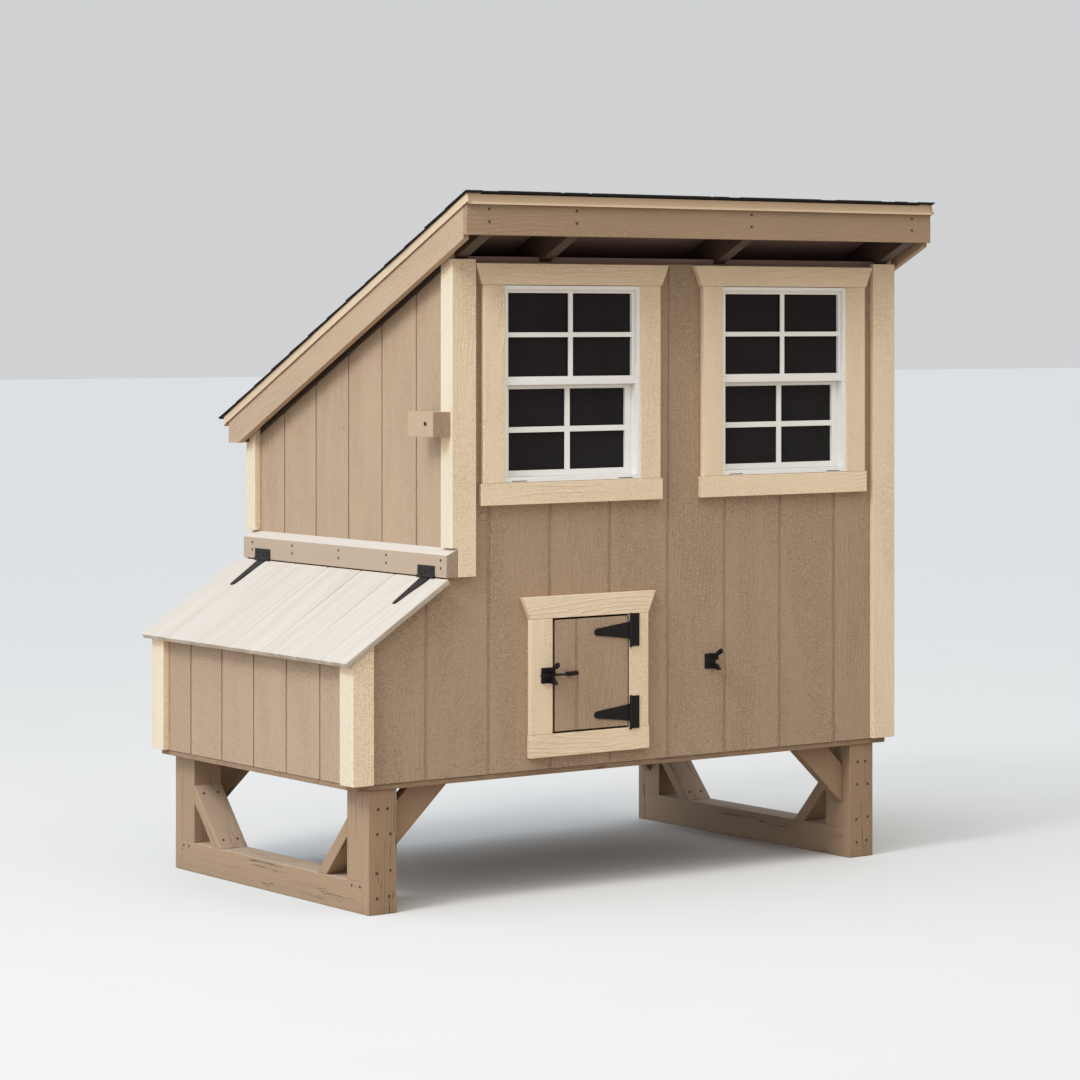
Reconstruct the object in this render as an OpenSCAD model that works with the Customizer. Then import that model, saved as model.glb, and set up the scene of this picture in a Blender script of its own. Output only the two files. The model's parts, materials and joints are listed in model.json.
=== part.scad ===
// Raised lean-to chicken coop with a side nest box.
// Working axes: X along the front from the nest end, Y from the front wall to the back, Z up from the ground.
// Everything is then shifted so the origin is the centre of the footprint, on the ground.

/* [Body] */
// Length of the hen house, end siding to end siding
coop_len = 1531; // [1400:1:1700]
// Depth, front siding to back siding
coop_dep = 1231; // [1150:1:1300]
// How far the nest box stands out from the end wall
nest_dep = 313; // [290:1:340]
// Height of the floor's underside above the ground
leg_h = 353; // [330:1:400]
// Height of the front wall's siding top above the ground
front_top = 1849; // [1820:1:1900]
// Fall of the roof for each millimetre towards the back
roof_fall = 0.444; // [0.40:0.002:0.46]

/* [Boards] */
// Thickness of the grooved siding sheets
siding_t = 16; // [12:1:18]
// Thickness of corner boards, casings, fascia and rakes
trim_t = 19.2; // [18:0.2:22]
// Thickness of framing timber
stud_t = 38.1; // [36:0.1:40]
// Depth of the wall studs
stud_w = 63.5; // [60:0.5:70]
// Side of a square post, and width of a brace
post_w = 88.9; // [80:0.1:95]
// Groove spacing
groove_step = 203.2; // [180:0.1:220]
// Groove width
groove_w = 10; // [6:0.5:14]
// Groove depth
groove_d = 3.2; // [2:0.1:5]

/* [Windows] */
// Width of each white window frame
win_w = 459.7; // [440:0.1:470]
// Height of each white window frame
win_h = 571.5; // [550:0.1:580]
// Height of the window frame's underside above the ground
win_z = 1210.3; // [1200:0.1:1220]

/* [Lid] */
// Slope of the closed lid in degrees
lid_slope = 34.4; // [30:0.1:36]
// Lid length down the slope, from the hinge pin
lid_len = 389.1; // [370:0.1:392]
// Lid thickness
lid_t = 15.2; // [14:0.1:16]

/* [Hardware] */
// Height of hinge and latch pins off the boards they are fixed to
pin_off = 4.1; // [4:0.05:4.3]
// Radius of the hinge knuckles
knuckle_r = 3.95; // [3.6:0.05:4]
// Radius of the hinge pins
pin_r = 2.2; // [1.8:0.05:2.4]
// Radial running clearance of every pin
run_c = 0.06; // [0.03:0.01:0.1]
// Thickness of hinge leaves and latch plates
leaf_t = 2.5; // [2:0.1:3]
// Distance of the latch rod from the plate
rod_off = 13.7; // [13:0.1:15]
// Radius of the latch rod
rod_r = 3.3; // [2.8:0.1:3.5]

/* [Hidden] */
in = 25.4;
function i(v) = v * in;

N = nest_dep;
XR = nest_dep + coop_len;
D = coop_dep;
st = siding_t;
tt = trim_t;
zr = post_w;                       // runner top
z_sheet = leg_h + 15;              // top of the bottom sheet
z_sid = z_sheet + 1;               // siding bottom
z_joist = z_sheet + post_w;        // joist tops
z_deck = z_joist + st;             // floor level
px = 44.5;                         // leg inset from the end siding
py = 9.65;                         // leg inset from the front and back siding
// roof lines at distance y from the front wall
z0 = front_top + 9;
function zrb(y) = z0 - roof_fall * y;          // rafter undersides
function zrt(y) = z0 + i(3.83) - roof_fall * y; // rafter tops, deck underside
pitch = atan(roof_fall);
oh = i(2.13);                      // roof overhang at each end
g = 0.2;                           // hairline joint between boards
yf = -i(6.3);                      // front face of the fascia
yb = i(51.2);                      // back ends of the rakes
XL0 = N - oh;
XR0 = XR + oh;
shf = -i(6.8);                     // shingle edge, front
shb = i(53.1);                     // shingle edge, back
she = 8;                           // shingle overhang past the rakes
// lid: pin line, slope
lx = N - i(1.5) - pin_off;
lz = i(37.13);
cs = cos(lid_slope);
sn = sin(lid_slope);
// height of the closed lid's underside at x
function zlu(x) = lz + (x - lx) * tan(lid_slope) - (pin_off + lid_t) / cs;
lid_x0 = lx - lid_len * cs + pin_off * sn;
cx = (lid_x0 + XR0 + she) / 2;
cy = (shf + shb) / 2;
// windows
wl = i(27.42);
wr = i(57.03);
jamb = 11;
sill_h = 14;
// hen door
hx0 = i(24.6);
hx1 = i(34.92);
hz0 = z_deck - 0.8;
hz1 = i(31.89);
hax = i(35.0);
hlz = i(25.41);
hlx = i(24.27);
hdx = 2 * hax - hlx + i(1.35);     // catch that holds the open door
// access door, laid out in the right wall's own plane: local x runs towards the back
ax0 = i(7.5);
ax1 = i(29.5);
az0 = z_deck;
az1 = i(54);
aax = i(29.6);
alz = i(36);
alx = ax0 - i(0.33);

taupe = "#b69c82";
taupe_dk = "#94795f";
cream = "#efdcc0";
black = "#1c1a1a";
raw = "#c9a877";

module shop() { translate([-cx, -cy, 0]) children(); }
// board outline in X and Z, thickness along Y from y0
module xz(y0, t) { translate([0, y0 + t, 0]) rotate([90, 0, 0]) linear_extrude(t) children(); }
// board outline in Y and Z, thickness along X from x0
module yz(x0, t) { translate([x0, 0, 0]) rotate([90, 0, 90]) linear_extrude(t) children(); }
// box from corner to corner
module bx(a, b) { translate(a) cube(b - a); }
// both ends of the depth: the child and its mirror image about mid depth
module both_y() { children(); translate([0, D, 0]) mirror([0, 1, 0]) children(); }
// the wall on the right end: local x to +Y, outward -y to +X
module right_wall() { translate([XR, 0, 0]) rotate([0, 0, 90]) children(); }

// ---------------------------------------------------------------- legs
module runners() { color(taupe) shop() for (x = [px, XR - px - post_w]) bx([x, py + stud_t, 0], [x + post_w, D - py - stud_t, zr]); }
module corner_posts() { color(taupe) shop() both_y() for (x = [px, XR - px - post_w]) bx([x, py + stud_t, zr], [x + post_w, py + stud_t + post_w, leg_h]); }
module post_cheeks() { color(taupe) shop() both_y() for (x = [px, XR - px - post_w]) bx([x, py, 0], [x + post_w, py + stud_t, leg_h]); }
module runner_braces() {
  y = py + stud_t + post_w;
  color(taupe) shop() both_y() for (x = [px, XR - px - post_w])
    yz(x, post_w) polygon([[y, zr + 122], [y + 122, zr], [y + 176, zr], [y, zr + 176]]);
}
module floor_brace() {
  x = px + post_w;
  xz(py + stud_t, stud_t) polygon([[x, leg_h - 187], [x + 187, leg_h], [x + 61, leg_h], [x, leg_h - 61]]);
}
module floor_braces() { color(taupe) shop() both_y() { floor_brace(); translate([XR, 0, 0]) mirror([1, 0, 0]) floor_brace(); } }

// ---------------------------------------------------------------- floor
module bottom_sheet() { color(taupe_dk) shop() bx([3, 3, leg_h], [XR - 3, D - 3, z_sheet]); }
module floor_frame() {
  n = 4;
  color(raw) shop() {
    for (y = [st, D - st - stud_t]) bx([st, y, z_sheet], [XR - st, y + stud_t, z_joist]);
    for (k = [0 : n]) let (x = st + k * (XR - 2 * st - stud_t) / n) bx([x, st + stud_t + g, z_sheet], [x + stud_t, D - st - stud_t - g, z_joist]);
  }
}
module floor_deck() { color(raw) shop() bx([st, st, z_joist], [XR - st, D - st, z_deck]); }

// ---------------------------------------------------------------- wall frames
fy1 = st + stud_w;
ptop = front_top + 16;             // front plate top
btop = zrb(D - st) + 12;           // back plate top
module front_plate() { bx([N + st, st, ptop - stud_t], [XR - st, fy1, ptop]); }
module back_plate() { bx([N + st, D - fy1, btop - stud_t], [XR - st, D - st, btop]); }
module fstud(x, a, b) { bx([x, st, a + g], [x + stud_t, fy1, b - g]); }
module front_wall_frame() {
  zb = z_deck + stud_t;
  color(raw) shop() {
    front_plate();
    bx([N + st, st, z_deck], [hx0 - stud_t - 2 - g, fy1, zb]);
    bx([hx1 + 4 + stud_t + g, st, z_deck], [XR - st, fy1, zb]);
    for (x = [N + st, wl - win_w / 2 - stud_t - 2, wl + win_w / 2 + 2, wr - win_w / 2 - stud_t - 2, wr + win_w / 2 + 2, XR - st - stud_t])
      fstud(x, zb, ptop - stud_t);
    for (w = [wl, wr]) {
      bx([w - win_w / 2 - 2 + g, st, win_z - 1 - stud_t], [w + win_w / 2 + 2 - g, fy1, win_z - 1]);
      bx([w - win_w / 2 - 2 + g, st, win_z + win_h + 1], [w + win_w / 2 + 2 - g, fy1, win_z + win_h + 1 + stud_t]);
    }
    fstud(hx0 - stud_t - 2, z_deck, hz1 + 2);
    fstud(hx1 + 4, z_deck, hz1 + 2);
    bx([hx0 - stud_t - 2, st, hz1 + 2], [hx1 + 4 + stud_t, fy1, hz1 + 2 + stud_t]);
  }
}
module back_wall_frame() {
  color(raw) shop() {
    back_plate();
    bx([N + st, D - fy1, z_deck], [XR - st, D - st, z_deck + stud_t]);
    for (k = [0 : 4]) let (x = N + st + k * (coop_len - 2 * st - stud_t) / 4) bx([x, D - fy1, z_deck + stud_t + g], [x + stud_t, D - st, btop - stud_t - g]);
  }
}
// stud in an end wall with its top cut to the roof line
module estud(x, y, a) { yz(x, stud_w) polygon([[y, a], [y + stud_t, a], [y + stud_t, zrb(y + stud_t) - 2], [y, zrb(y) - 2]]); }
module end_wall_frames() {
  hl = i(35.4);
  xe = XR - st - stud_w;
  hd = i(54.1);
  color(raw) shop() {
    estud(N + st, fy1, z_deck);
    estud(N + st, D - fy1 - stud_t, z_deck);
    bx([N + st, fy1 + stud_t + g, hl], [N + st + stud_t, D - fy1 - stud_t - g, hl + post_w]);
    estud(N + st, D / 2 - stud_t / 2, hl + post_w + g);
    estud(xe, fy1, z_deck);
    estud(xe, D - fy1 - stud_t, z_deck);
    estud(xe, ax0 - 3 - stud_t, z_deck);
    estud(xe, ax1 + 3, z_deck);
    bx([xe, ax0 - 3 + g, hd], [XR - st, ax1 + 3 - g, hd + stud_t]);
    bx([xe, ax1 + 3 + stud_t + g, z_deck], [XR - st, D - fy1 - stud_t - g, z_deck + stud_t]);
  }
}

// ---------------------------------------------------------------- siding
module grooves_x(n, x0, z1) { for (k = [0 : n - 1]) bx([x0 + k * groove_step - groove_w / 2, -1, 0], [x0 + k * groove_step + groove_w / 2, groove_d, z1]); }
// front and back outline, with the slope that sits under the lid
module long_wall(top) {
  polygon([[0, z_sid], [XR, z_sid], [XR, top], [N, top], [N, i(37.12)], [i(11.3), i(37.12)], [i(11.3), zlu(i(11.1)) - 2], [i(11.1), zlu(i(11.1)) - 2], [0, zlu(0) - 2]]);
}
module front_siding() {
  color(taupe) shop() difference() {
    xz(0, st) long_wall(front_top);
    for (w = [wl, wr]) bx([w - win_w / 2 - 1, -1, win_z - 1], [w + win_w / 2 + 1, st + 1, win_z + win_h + 1]);
    bx([hx0, -1, hz0], [hx1, st + 1, hz1]);
    grooves_x(8, i(8.65), front_top + 9);
  }
}
module back_siding() {
  color(taupe) shop() difference() {
    xz(D - st, st) long_wall(zrb(D) - 3);
    translate([0, D, 0]) mirror([0, 1, 0]) grooves_x(8, i(8.65), front_top);
  }
}
module end_outline(bottom) { polygon([[st, bottom], [D - st, bottom], [D - st, zrb(D - st) - 2], [st, zrb(st) - 2]]); }
module left_end_siding() {
  color(taupe) shop() difference() {
    yz(N, st) end_outline(i(35.4));
    for (k = [0 : 5]) let (y = i(8.65) + k * groove_step) bx([N - 1, y - groove_w / 2, 0], [N + groove_d, y + groove_w / 2, front_top + 9]);
  }
}
module right_end_siding() {
  color(taupe) shop() difference() {
    yz(XR - st, st) end_outline(z_sid);
    for (k = [0 : 5]) let (y = i(8.65) + k * groove_step) bx([XR - groove_d, y - groove_w / 2, 0], [XR + 1, y + groove_w / 2, front_top + 9]);
    bx([XR - st - 1, ax0, az0 - 0.8], [XR + 1, ax1, az1]);
  }
}
module nest_end_siding() {
  color(taupe) shop() difference() {
    bx([0, st, z_sid], [st, D - st, zlu(0) - 3]);
    for (k = [0 : 5]) let (y = i(8.27) + k * groove_step) bx([-1, y - groove_w / 2, 0], [groove_d, y + groove_w / 2, 900]);
  }
}

// ---------------------------------------------------------------- corner boards
// board on an end wall, its top cut to just under the roof deck
module side_board(x, y0, y1, z) { yz(x, tt) polygon([[y0 + g, z], [y1 - g, z], [y1 - g, zrt(y1) - 4], [y0 + g, zrt(y0) - 4]]); }
module coop_corner_boards() {
  zl = i(40.4);
  bw = i(2.31);
  sw = i(1.85);
  color(cream) shop() {
    xz(-tt, tt) polygon([[N, i(37.15)], [N + bw, i(37.15)], [N + bw, z0 - 1], [N - tt, z0 - 1], [N - tt, zl + 1], [N, zl + 1]]);
    side_board(N - tt, 0, sw, zl + 1);
    xz(D, tt) polygon([[N, i(37.15)], [N + bw, i(37.15)], [N + bw, zrb(D + tt) - 1], [N - tt, zrb(D + tt) - 1], [N - tt, zl + 1], [N, zl + 1]]);
    side_board(N - tt, D - sw + i(0.3), D, zl + 1);
    bx([XR - i(2.5), -tt, z_sid + 1], [XR + tt, 0, z0 - 1]);
    side_board(XR, 0, sw, z_sid + 1);
    bx([XR - i(2.5), D, z_sid + 1], [XR + tt, D + tt, zrb(D + tt) - 1]);
    side_board(XR, D - sw, D, z_sid + 1);
  }
}
module nest_corner_boards() {
  w = i(1.83);
  color(cream) shop() both_y() {
    xz(-tt, tt) polygon([[-tt, z_sid + 1], [w, z_sid + 1], [w, zlu(w) - 2], [-tt, zlu(-tt) - 2]]);
    bx([-tt, g, z_sid + 1], [0, i(2.34), zlu(-tt) - 2]);
  }
}

// ---------------------------------------------------------------- nest box
module nest_corner_cleats() { color(raw) shop() both_y() bx([st, st, z_deck], [st + stud_t, st + stud_t, zlu(st) - 6]); }
module nest_partitions() {
  color(raw) shop() {
    for (k = [1 : 3]) xz(k * D / 4 - 6, 12) polygon([[st, z_deck], [N - 2, z_deck], [N - 2, i(35)], [i(11.1), zlu(i(11.1)) - 6], [st, zlu(st) - 6]]);
    bx([N, fy1 + stud_t, z_deck], [N + tt, D - fy1 - stud_t, z_deck + 102]);
  }
}
module lid_ledger() {
  x = N - stud_t;
  color(taupe) shop() yzx(-tt, D) polygon([[x, i(37.12)], [N, i(37.12)], [N, i(40.4)], [x, i(39.7)]]);
}
// outline in X and Z, swept along Y from a to b
module yzx(a, b) { translate([0, b, 0]) rotate([90, 0, 0]) linear_extrude(b - a) children(); }
// frame of the closed lid: local x down the slope from the pin, local z square to it
module lid_frame() { translate([lx, 0, lz]) rotate([0, 180 - lid_slope, 0]) mirror([0, 0, 1]) children(); }
module nest_lid() {
  y0 = -i(1.15);
  y1 = D + i(1.15);
  color(taupe) shop() lid_frame() difference() {
    bx([-1.2, y0, -pin_off - lid_t], [lid_len, y1, -pin_off]);
    for (k = [0 : 5]) let (y = i(2.8) + k * groove_step) bx([-3, y - groove_w / 2, -pin_off - 2.6], [lid_len + 1, y + groove_w / 2, -pin_off + 1]);
  }
}

// ---------------------------------------------------------------- T hinges
// Local frame: pin along z, plate towards +x, strap towards -x, boards at y = pin_off, outside is -y
kw = 97;          // length of the whole knuckle
kr = 50.8;        // length of the strap's knuckle
module knuckle(z0k, z1k) { difference() { translate([0, 0, z0k]) cylinder(r = knuckle_r, h = z1k - z0k, $fn = 32); translate([0, 0, z0k - 1]) cylinder(r = pin_r + run_c, h = z1k - z0k + 2, $fn = 32); } }
module hinge_plate(w) {
  for (s = [-1, 1]) let (a = s > 0 ? kr / 2 + 0.4 : -kw / 2, b = s > 0 ? kw / 2 : -kr / 2 - 0.4) {
    knuckle(a, b);
    difference() { bx([0, pin_off - leaf_t, a], [w, pin_off, b]); translate([0, 0, a - 1]) cylinder(r = pin_r + run_c, h = b - a + 2, $fn = 32); }
  }
  bx([knuckle_r + 1, pin_off - leaf_t, -kr / 2 - 0.4], [w, pin_off, kr / 2 + 0.4]);
}
module hinge_strap(len) {
  knuckle(-kr / 2, kr / 2);
  difference() {
    translate([0, pin_off, 0]) rotate([90, 0, 0]) linear_extrude(leaf_t) {
      polygon([[0, -kr / 2], [0, kr / 2], [-len * 0.3, kr / 2 - 5], [-len + 9, 10.5], [-len + 9, -10.5], [-len * 0.3, -kr / 2 + 5]]);
      translate([-len + 10.5, 0]) circle(r = 10.5, $fn = 32);
    }
    translate([0, 0, -kw]) cylinder(r = pin_r + run_c, h = 2 * kw, $fn = 32);
  }
}
module hinge_pin() { translate([0, 0, -kw / 2 - 1.5]) cylinder(r = pin_r, h = kw + 3, $fn = 32); for (s = [0, 1]) mirror([0, 0, s]) translate([0, 0, kw / 2 + 0.3]) cylinder(r = pin_r + 1.2, h = 2, $fn = 32); }
// the lid hinges: local z to +Y, local x to +Z, local y to +X
module on_lid(y) { translate([lx, y, lz]) multmatrix([[0, 1, 0, 0], [0, 0, 1, 0], [1, 0, 0, 0], [0, 0, 0, 1]]) children(); }
module on_lid_leaf(y) { translate([lx, y, lz]) rotate([0, 90 - lid_slope, 0]) multmatrix([[0, 1, 0, 0], [0, 0, 1, 0], [1, 0, 0, 0], [0, 0, 0, 1]]) children(); }
lid_hy = [i(3.72), i(43.35)];
hen_hz = [i(20.35), i(29.96)];
acc_hz = [i(24.5), i(48)];
module on_hen(z) { translate([hax, -tt - pin_off, z]) children(); }
module on_acc(z) { right_wall() translate([aax, -tt - pin_off, z]) children(); }
module lid_hinge_plates() { color(black) shop() for (y = lid_hy) on_lid(y) hinge_plate(32); }
module lid_hinge_straps() { color(black) shop() for (y = lid_hy) on_lid_leaf(y) hinge_strap(127); }
module door_hinge_plates() { color(black) shop() { for (z = hen_hz) on_hen(z) hinge_plate(31); for (z = acc_hz) on_acc(z) hinge_plate(40); } }
module hen_hinge_straps() { color(black) shop() for (z = hen_hz) on_hen(z) hinge_strap(124); }
module access_hinge_straps() { color(black) shop() for (z = acc_hz) on_acc(z) hinge_strap(178); }
module hinge_pins() { color(black) shop() { for (y = lid_hy) on_lid(y) hinge_pin(); for (z = hen_hz) on_hen(z) hinge_pin(); for (z = acc_hz) on_acc(z) hinge_pin(); } }

// ---------------------------------------------------------------- lid keeper
ky = i(1.36);
kz = i(54.5);
kx1 = i(10.66);
kx0 = i(9.37);
module keeper_spacer() {
  color(taupe_dk) shop() difference() {
    bx([kx1 + 0.5, ky - i(1.69), kz - i(1.5)], [N - tt, ky + i(1.5), kz + i(1.34)]);
    translate([kx1 - 1, ky, kz]) rotate([0, 90, 0]) cylinder(r = 4 + run_c, h = 40, $fn = 32);
  }
}
module lid_keeper() {
  color(taupe) shop() difference() {
    bx([kx0, ky - i(1.69), kz - i(1.5)], [kx1, ky + i(4), kz + i(1.34)]);
    translate([kx0 - 1, ky, kz]) rotate([0, 90, 0]) cylinder(r = 4 + run_c, h = 60, $fn = 32);
  }
}
module keeper_screw() {
  color(black) shop() translate([kx0, ky, kz]) rotate([0, 90, 0]) { cylinder(r = 4, h = N - tt - kx0, $fn = 32); translate([0, 0, -3]) cylinder(r = 5.5, h = 2.5, $fn = 32); translate([0, 0, -1]) cylinder(r = 4, h = 2, $fn = 32); }
}

// ---------------------------------------------------------------- windows
hw = win_w / 2 - jamb;             // half width inside the frame
zi0 = win_z + sill_h;              // inside bottom
zi1 = win_z + win_h - jamb;        // inside top
zm = i(58.75);                     // underside of the fixed sash
module casing_set(w) {
  xz(-tt, tt) polygon([[w - i(12), i(70.22)], [w + i(12), i(70.22)], [w + i(13), i(72.66)], [max(w - i(13), N + i(2.31) + g), i(72.66)]]);
  for (s = [0, 1]) translate([w, 0, 0]) mirror([s, 0, 0]) bx([win_w / 2, -tt, i(47.6) + 2 * g], [i(11.8), 0, i(70.22) - 2 * g]);
  bx([w - i(12.1), -tt, i(45.1)], [w + i(12.1), 0, i(47.6)]);
}
module window_casings() { color(cream) shop() for (w = [wl, wr]) casing_set(w); }
module window_frame(w) {
  difference() {
    bx([w - win_w / 2, -14, win_z], [w + win_w / 2, 56, win_z + win_h]);
    bx([w - hw, -15, zi0], [w + hw, 57, zi1]);
  }
  // parting stops that keep the sashes in their tracks
  for (s = [0, 1]) translate([w, 0, 0]) mirror([s, 0, 0]) bx([hw - 7, 35, zi0], [hw + 1, 39.5, zi1]);
}
module window_frames() { color("#f2f0ec") shop() for (w = [wl, wr]) window_frame(w); }
// sash ring with a cross of glazing bars; glass goes behind the bars
module sash(w, y0, za, zb, side, low, top, bw) {
  hs = hw - side;
  difference() {
    bx([w - hw + 0.5, y0, za], [w + hw - 0.5, y0 + 15, zb]);
    bx([w - hs, y0 - 1, za + low], [w + hs, y0 + 16, zb - top]);
  }
  bx([w - bw, y0 + 1, za + low - 1], [w + bw, y0 + 6, zb - top + 1]);
  bx([w - hs - 1, y0 + 1, (za + low + zb - top) / 2 - bw], [w + hs + 1, y0 + 6, (za + low + zb - top) / 2 + bw]);
}
module upper_sash(w) {
  sash(w, -2, zm, zi1, hw - 210, i(0.95), 10.5, 7);
  bx([w - hw + 0.5, -5, zm + 0.4], [w + hw - 0.5, -1.5, i(59.42)]);
}
module upper_sashes() { color("#f2f0ec") shop() for (w = [wl, wr]) upper_sash(w); }
module upper_glass() { color("#1e1c1d") shop() for (w = [wl, wr]) bx([w - 210, 9, zm + i(0.95)], [w + 210, 12.5, zi1 - 10.5]); }
zs1 = i(59.25);
module lower_sash(w) { sash(w, 16.5, zi0 + 0.5, zs1, hw - 197.5, 18, i(0.98), 8.2); }
module lower_glass(w) { bx([w - 197.5, 25, zi0 + 18.5], [w + 197.5, 29, zs1 - i(0.98)]); }
module lower_sash_left() { color("#f2f0ec") shop() lower_sash(wl); }
module lower_sash_right() { color("#f2f0ec") shop() lower_sash(wr); }
module lower_glass_left() { color("#1e1c1d") shop() lower_glass(wl); }
module lower_glass_right() { color("#1e1c1d") shop() lower_glass(wr); }

// ---------------------------------------------------------------- hen door
module hen_door_casing() {
  color(cream) shop() {
    xz(-tt, tt) polygon([[i(21.7), hz1], [i(37.55), hz1], [i(38.55), hz1 + i(2.53)], [i(20.65), hz1 + i(2.53)]]);
    bx([i(21.73), -tt, hz0 + 2 * g], [hx0, 0, hz1 - 2 * g]);
    bx([hx1, -tt, hz0 + 2 * g], [i(37.53), 0, hz1 - 2 * g]);
    bx([i(21.65), -tt, hz0 - i(2.63)], [i(37.65), 0, hz0]);
  }
}
module hen_door() {
  color(taupe) shop() difference() {
    bx([hx0 + 8, -tt, hz0 + 6], [hx1 - 6, -tt + st, hz1 - 6]);
    bx([i(27.75) - groove_w / 2, -tt - 1, 0], [i(27.75) + groove_w / 2, -tt + groove_d, hz1]);
  }
}
module hen_door_battens() { color(raw) shop() for (z = [hz0 + 40, hz1 - 40 - post_w]) bx([hx0 + 14, -tt + st, z], [hx1 - 12, -tt + st + 18, z + post_w]); }

// ---------------------------------------------------------------- gate latch
// Local frame: mounting face at y = 0, outside is -y, rod along x at y = -rod_off, z = 0
pvu = 8;
pvz = 14;
module uz(x0, t) { translate([x0, 0, 0]) rotate([90, 0, 90]) linear_extrude(t) mirror([1, 0]) children(); }
module catch_body() {
  xz(-leaf_t, leaf_t) translate([-28.2, -21.2]) offset(r = 3, $fn = 32) square([32.7, 40]);
  uz(-4.5, 9) polygon([[leaf_t - 0.5, -24], [34, -27.5], [38.5, -25], [23, -11], [17, -9.5], [leaf_t - 0.5, -9.5]]);
  for (x = [-6.9, 4.5]) difference() {
    uz(x, 2.4) { translate([leaf_t - 0.5, pvz - 5.5]) square([pvu - leaf_t + 0.5, 11]); translate([pvu, pvz]) circle(r = 5.5, $fn = 32); }
    translate([x - 1, -pvu, pvz]) rotate([0, 90, 0]) cylinder(r = 1.8 + run_c, h = 5, $fn = 32);
  }
}
module pawl() {
  difference() {
    union() {
      uz(-4.1, 8.2) {
        translate([pvu, pvz]) circle(r = 5, $fn = 32);
        polygon([[8, 9.2], [13, 8.4], [15.2, 6.6], [17, 6.1], [18.9, 5.95], [20.4, 5], [21.3, 3.6], [24.3, 3.6], [24.6, 8.5], [20, 16], [10, 18.9]]);
        polygon([[9, 18.6], [16, 13.5], [33, 19.5], [41, 23.6], [40, 31], [36.5, 36]]);
      }
      translate([0, -42, 31]) rotate([0, 90, 0]) cylinder(r = 7.8, h = 5, center = true, $fn = 32);
    }
    translate([0, -42, 31]) rotate([0, 90, 0]) cylinder(r = 3.4, h = 12, center = true, $fn = 32);
    translate([0, -pvu, pvz]) rotate([0, 90, 0]) cylinder(r = 1.8 + run_c, h = 12, center = true, $fn = 32);
  }
}
module pawl_pin() { translate([-8, -pvu, pvz]) rotate([0, 90, 0]) cylinder(r = 1.8, h = 16, $fn = 32); for (x = [-8.5, 7]) translate([x, -pvu, pvz]) rotate([0, 90, 0]) cylinder(r = 3, h = 1.5, $fn = 32); }
module striker() {
  xz(-leaf_t, leaf_t) hull() { translate([51, -6]) square([4, 12]); translate([89, 0]) circle(r = 6, $fn = 32); }
  difference() {
    bx([51, -rod_off - 4.5, -5.5], [72, -leaf_t + 0.5, 5.5]);
    bx([63, -rod_off - 6, -8], [73, -7.5, 8]);
  }
  translate([-40, -rod_off, 0]) rotate([0, 90, 0]) cylinder(r = rod_r, h = 93, $fn = 32);
}
module at_hen() { translate([hlx, -tt, hlz]) children(); }
module at_hold() { translate([hdx, 0, hlz + 5]) children(); }
module at_acc() { right_wall() translate([alx, -tt, alz]) children(); }
module latch_catches() { color(black) shop() { at_hen() catch_body(); at_hold() catch_body(); at_acc() catch_body(); } }
module latch_pins() { color(black) shop() { at_hen() pawl_pin(); at_hold() pawl_pin(); at_acc() pawl_pin(); } }
module hen_pawl() { color(black) shop() at_hen() pawl(); }
module hold_pawl() { color(black) shop() at_hold() pawl(); }
module access_pawl() { color(black) shop() at_acc() pawl(); }
module hen_striker() { color(black) shop() at_hen() striker(); }
module access_striker() { color(black) shop() at_acc() striker(); }

// ---------------------------------------------------------------- access door
module access_casing() {
  w = i(2.75);
  color(cream) shop() right_wall() {
    xz(-tt, tt) polygon([[ax0 - w, az1], [ax1 + w, az1], [ax1 + w + i(1), az1 + i(2.44)], [ax0 - w - i(1), az1 + i(2.44)]]);
    bx([ax0 - w, -tt, az0 - 0.8 + 2 * g], [ax0, 0, az1 - 2 * g]);
    bx([ax1, -tt, az0 - 0.8 + 2 * g], [ax1 + w, 0, az1 - 2 * g]);
    bx([ax0 - w, -tt, az0 - 0.8 - i(2.5)], [ax1 + w, 0, az0 - 0.8]);
  }
}
module access_door() {
  color(taupe) shop() right_wall() difference() {
    bx([ax0 + 8, -tt, az0 + 6], [ax1 - 6, -tt + st, az1 - 6]);
    for (k = [0 : 2]) let (y = i(8.65) + k * groove_step) bx([y - groove_w / 2, -tt - 1, 0], [y + groove_w / 2, -tt + groove_d, az1]);
  }
}
module access_door_battens() { color(raw) shop() right_wall() for (z = [az0 + 60, az1 - 60 - post_w]) bx([ax0 + 16, -tt + st, z], [ax1 - 14, -tt + st + 18, z + post_w]); }

// ---------------------------------------------------------------- roof
rb_x = [N, N + i(11.3), N + i(35.2), XR - stud_t];
module rafters() {
  ye = yb - tt;
  color(taupe) shop() difference() {
    for (x = rb_x) yz(x, stud_t) polygon([[yf + tt, zrb(yf + tt)], [ye, zrb(ye)], [ye, zrt(ye) - 0.05], [yf + tt, zrt(yf + tt) - 0.05]]);
    // seats over the wall plates
    bx([N + st, st, ptop - stud_t - 30], [XR - st, fy1, ptop]);
    bx([N + st, D - fy1, btop - stud_t - 30], [XR - st, D - st, btop]);
  }
}
dk_t = 10.4;                        // deck thickness measured plumb
yd = i(52.2);                       // back edge of the deck
module roof_deck() { color(raw) shop() yz(XL0, XR0 - XL0) polygon([[yf, zrt(yf)], [yd, zrt(yd)], [yd, zrt(yd) + dk_t], [yf, zrt(yf) + dk_t]]); }
module fascia_boards() {
  color(taupe) shop() {
    bx([XL0, yf, i(75.68)], [XR0, yf + tt, zrt(yf + tt) - 1]);
    bx([XL0 + tt, yb - tt, i(51.13)], [XR0 - tt, yb, zrt(yb) - 1]);
  }
}
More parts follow.
